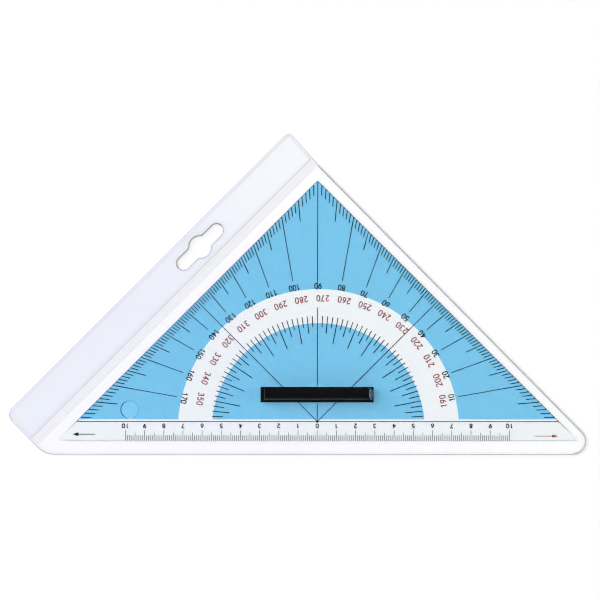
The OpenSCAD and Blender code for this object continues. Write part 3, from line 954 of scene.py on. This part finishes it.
# Thin grey lines are painted along the front and left-hand edges of its top, the left one weaker: painted
# highlights where these edges catch the light.
highlight_line_falloff = {"From Min": 0.06 * mm, "From Max": 0.14 * mm, **fading_out}
painted_highlight_lines = []
for axis, line, highlight_strength in (("Y", 11.3 * mm, 1.0), ("X", -27.05 * mm, 0.35)):
    past = put(tree, "ShaderNodeMath", {0: parts.outputs[axis], 1: line}, operation="SUBTRACT")
    gap = put(tree, "ShaderNodeMath", {0: past.outputs[0]}, operation="ABSOLUTE")
    on_line = put(tree, "ShaderNodeMapRange", {"Value": gap.outputs[0], **highlight_line_falloff})
    highlight_here = put(tree, "ShaderNodeMath", {0: on_line.outputs[0], 1: highlight_strength}, operation="MULTIPLY")
    painted_highlight_lines.append(highlight_here.outputs[0])
painted_highlights = put(tree, "ShaderNodeMath", {0: painted_highlight_lines[0], 1: painted_highlight_lines[1]}, operation="MAXIMUM")
on_top = put(tree, "ShaderNodeMath", {0: painted_highlights.outputs[0], 1: top_share.outputs[0]}, operation="MULTIPLY")
# The grey here is the painted highlight on those two edges of the top.
black_or_highlight = {"Factor": on_top.outputs[0], 6: depth.outputs[2], 7: linear("#6C7072")}
bar_black = put(tree, "ShaderNodeMix", black_or_highlight, data_type="RGBA")
moulding = put(
    tree,
    "ShaderNodeBsdfPrincipled",
    {
        "Base Color": bar_black.outputs[2],
        "Roughness": worn.outputs[0],
        "IOR": 1.53,
        "Coat Weight": end_share.outputs[0],
        "Coat IOR": 2.0,
        "Normal": skin.outputs["Normal"],
    },
)
matt_or_shiny = {0: shiny.outputs[0], 1: matt_skin.outputs[0], 2: moulding.outputs[0]}
two_skins = put(tree, "ShaderNodeMixShader", matt_or_shiny)
put(tree, "ShaderNodeOutputMaterial", {"Surface": two_skins.outputs[0]})
grip.data.materials.append(gloss_black)
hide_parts("handle")
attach(grip, "triangle")

# The table: a plain board, painted matt white. It shows pure white to the eye and keeps the soft shadow.
# The pouch lies 0.8 mm above it, because stiff film never lies quite flat.
table_top = -0.8 * mm
bpy.ops.mesh.primitive_plane_add(size=14, location=(0, 0, table_top))
table = start_piece("table")
only(table)
board_white, tree, place = new_finish("matt_white_table")
lift = put(tree, "ShaderNodeMath", {0: looked_at(tree), 1: 0.3452}, operation="MULTIPLY")
matt = put(tree, "ShaderNodeBsdfDiffuse", {"Color": linear("#D4D4D4")})
glow = put(tree, "ShaderNodeEmission", {"Color": linear("#FAFAFF"), "Strength": lift.outputs[0]})
both = put(tree, "ShaderNodeAddShader", {0: matt.outputs[0], 1: glow.outputs[0]})
put(tree, "ShaderNodeOutputMaterial", {"Surface": both.outputs[0]})
table.data.materials.append(board_white)

# The light: a main softbox at the upper left, weaker ones at the right and in front, and one overhead.
# Glossy and clear faces don't show the main and the overhead one, which would lie on them as bright
# patches. The room is pale near the floor and dark overhead.


def softbox(name, azimuth, height, power, size, mirrored=True):
    """A square lamp three metres away that faces the instrument, shown in glossy and clear faces or not."""
    turn, up = math.radians(azimuth), math.radians(height)
    away = Vector((math.cos(turn) * math.cos(up), math.sin(turn) * math.cos(up), math.sin(up)))
    instrument_middle = Vector((0, 60 * mm, 0))
    bpy.ops.object.light_add(type="AREA", location=instrument_middle + away * 3)
    lamp = bpy.context.object
    lamp.name = name
    lamp.rotation_euler = away.to_track_quat("Z", "Y").to_euler()
    lamp.data.energy = power
    lamp.data.size = size
    lamp.visible_camera = False
    lamp.visible_glossy = mirrored
    lamp.visible_transmission = mirrored


softbox("main_lamp", azimuth=158, height=48, power=54, size=2.4, mirrored=False)
softbox("right_lamp", azimuth=4, height=28, power=10, size=1.0)
softbox("front_lamp", azimuth=262, height=45, power=14, size=2.0)
softbox("top_lamp", azimuth=90, height=89, power=36.5, size=0.6, mirrored=False)
room = bpy.data.worlds.new("room")
bpy.context.scene.world = room
room.use_nodes = True
tree = room.node_tree
tree.nodes.clear()
seen = put(tree, "ShaderNodeLightPath")
way = put(tree, "ShaderNodeTexCoord").outputs["Generated"]
heights = put(tree, "ShaderNodeSeparateXYZ", {0: way})
walls = {"From Min": 0.0, "From Max": 0.6, "To Min": 0.8, "To Max": 0.02}
pale_low = put(tree, "ShaderNodeMapRange", {"Value": heights.outputs["Z"], **walls})
# Mirrors show the walls, matt faces get an even 0.12 from all round, and the eye sees plain white.
mirrored_or_even = {0: seen.outputs["Is Diffuse Ray"], 2: pale_low.outputs[0], 3: 0.12}
even = put(tree, "ShaderNodeMix", mirrored_or_even, data_type="FLOAT")
room_or_white = {0: seen.outputs["Is Camera Ray"], 2: even.outputs[0], 3: 1.0}
strength = put(tree, "ShaderNodeMix", room_or_white, data_type="FLOAT")
sky = put(tree, "ShaderNodeBackground", {"Color": linear("#FFFFFF"), "Strength": strength.outputs[0]})
put(tree, "ShaderNodeOutputWorld", {"Surface": sky.outputs[0]})

# Light may pass every layer of film, plate and ink, and the picture is as sharp as the photograph.
scene = bpy.context.scene
scene.view_settings.view_transform = "Standard"
scene.cycles.transparent_max_bounces = 32
scene.cycles.filter_width = 1.1
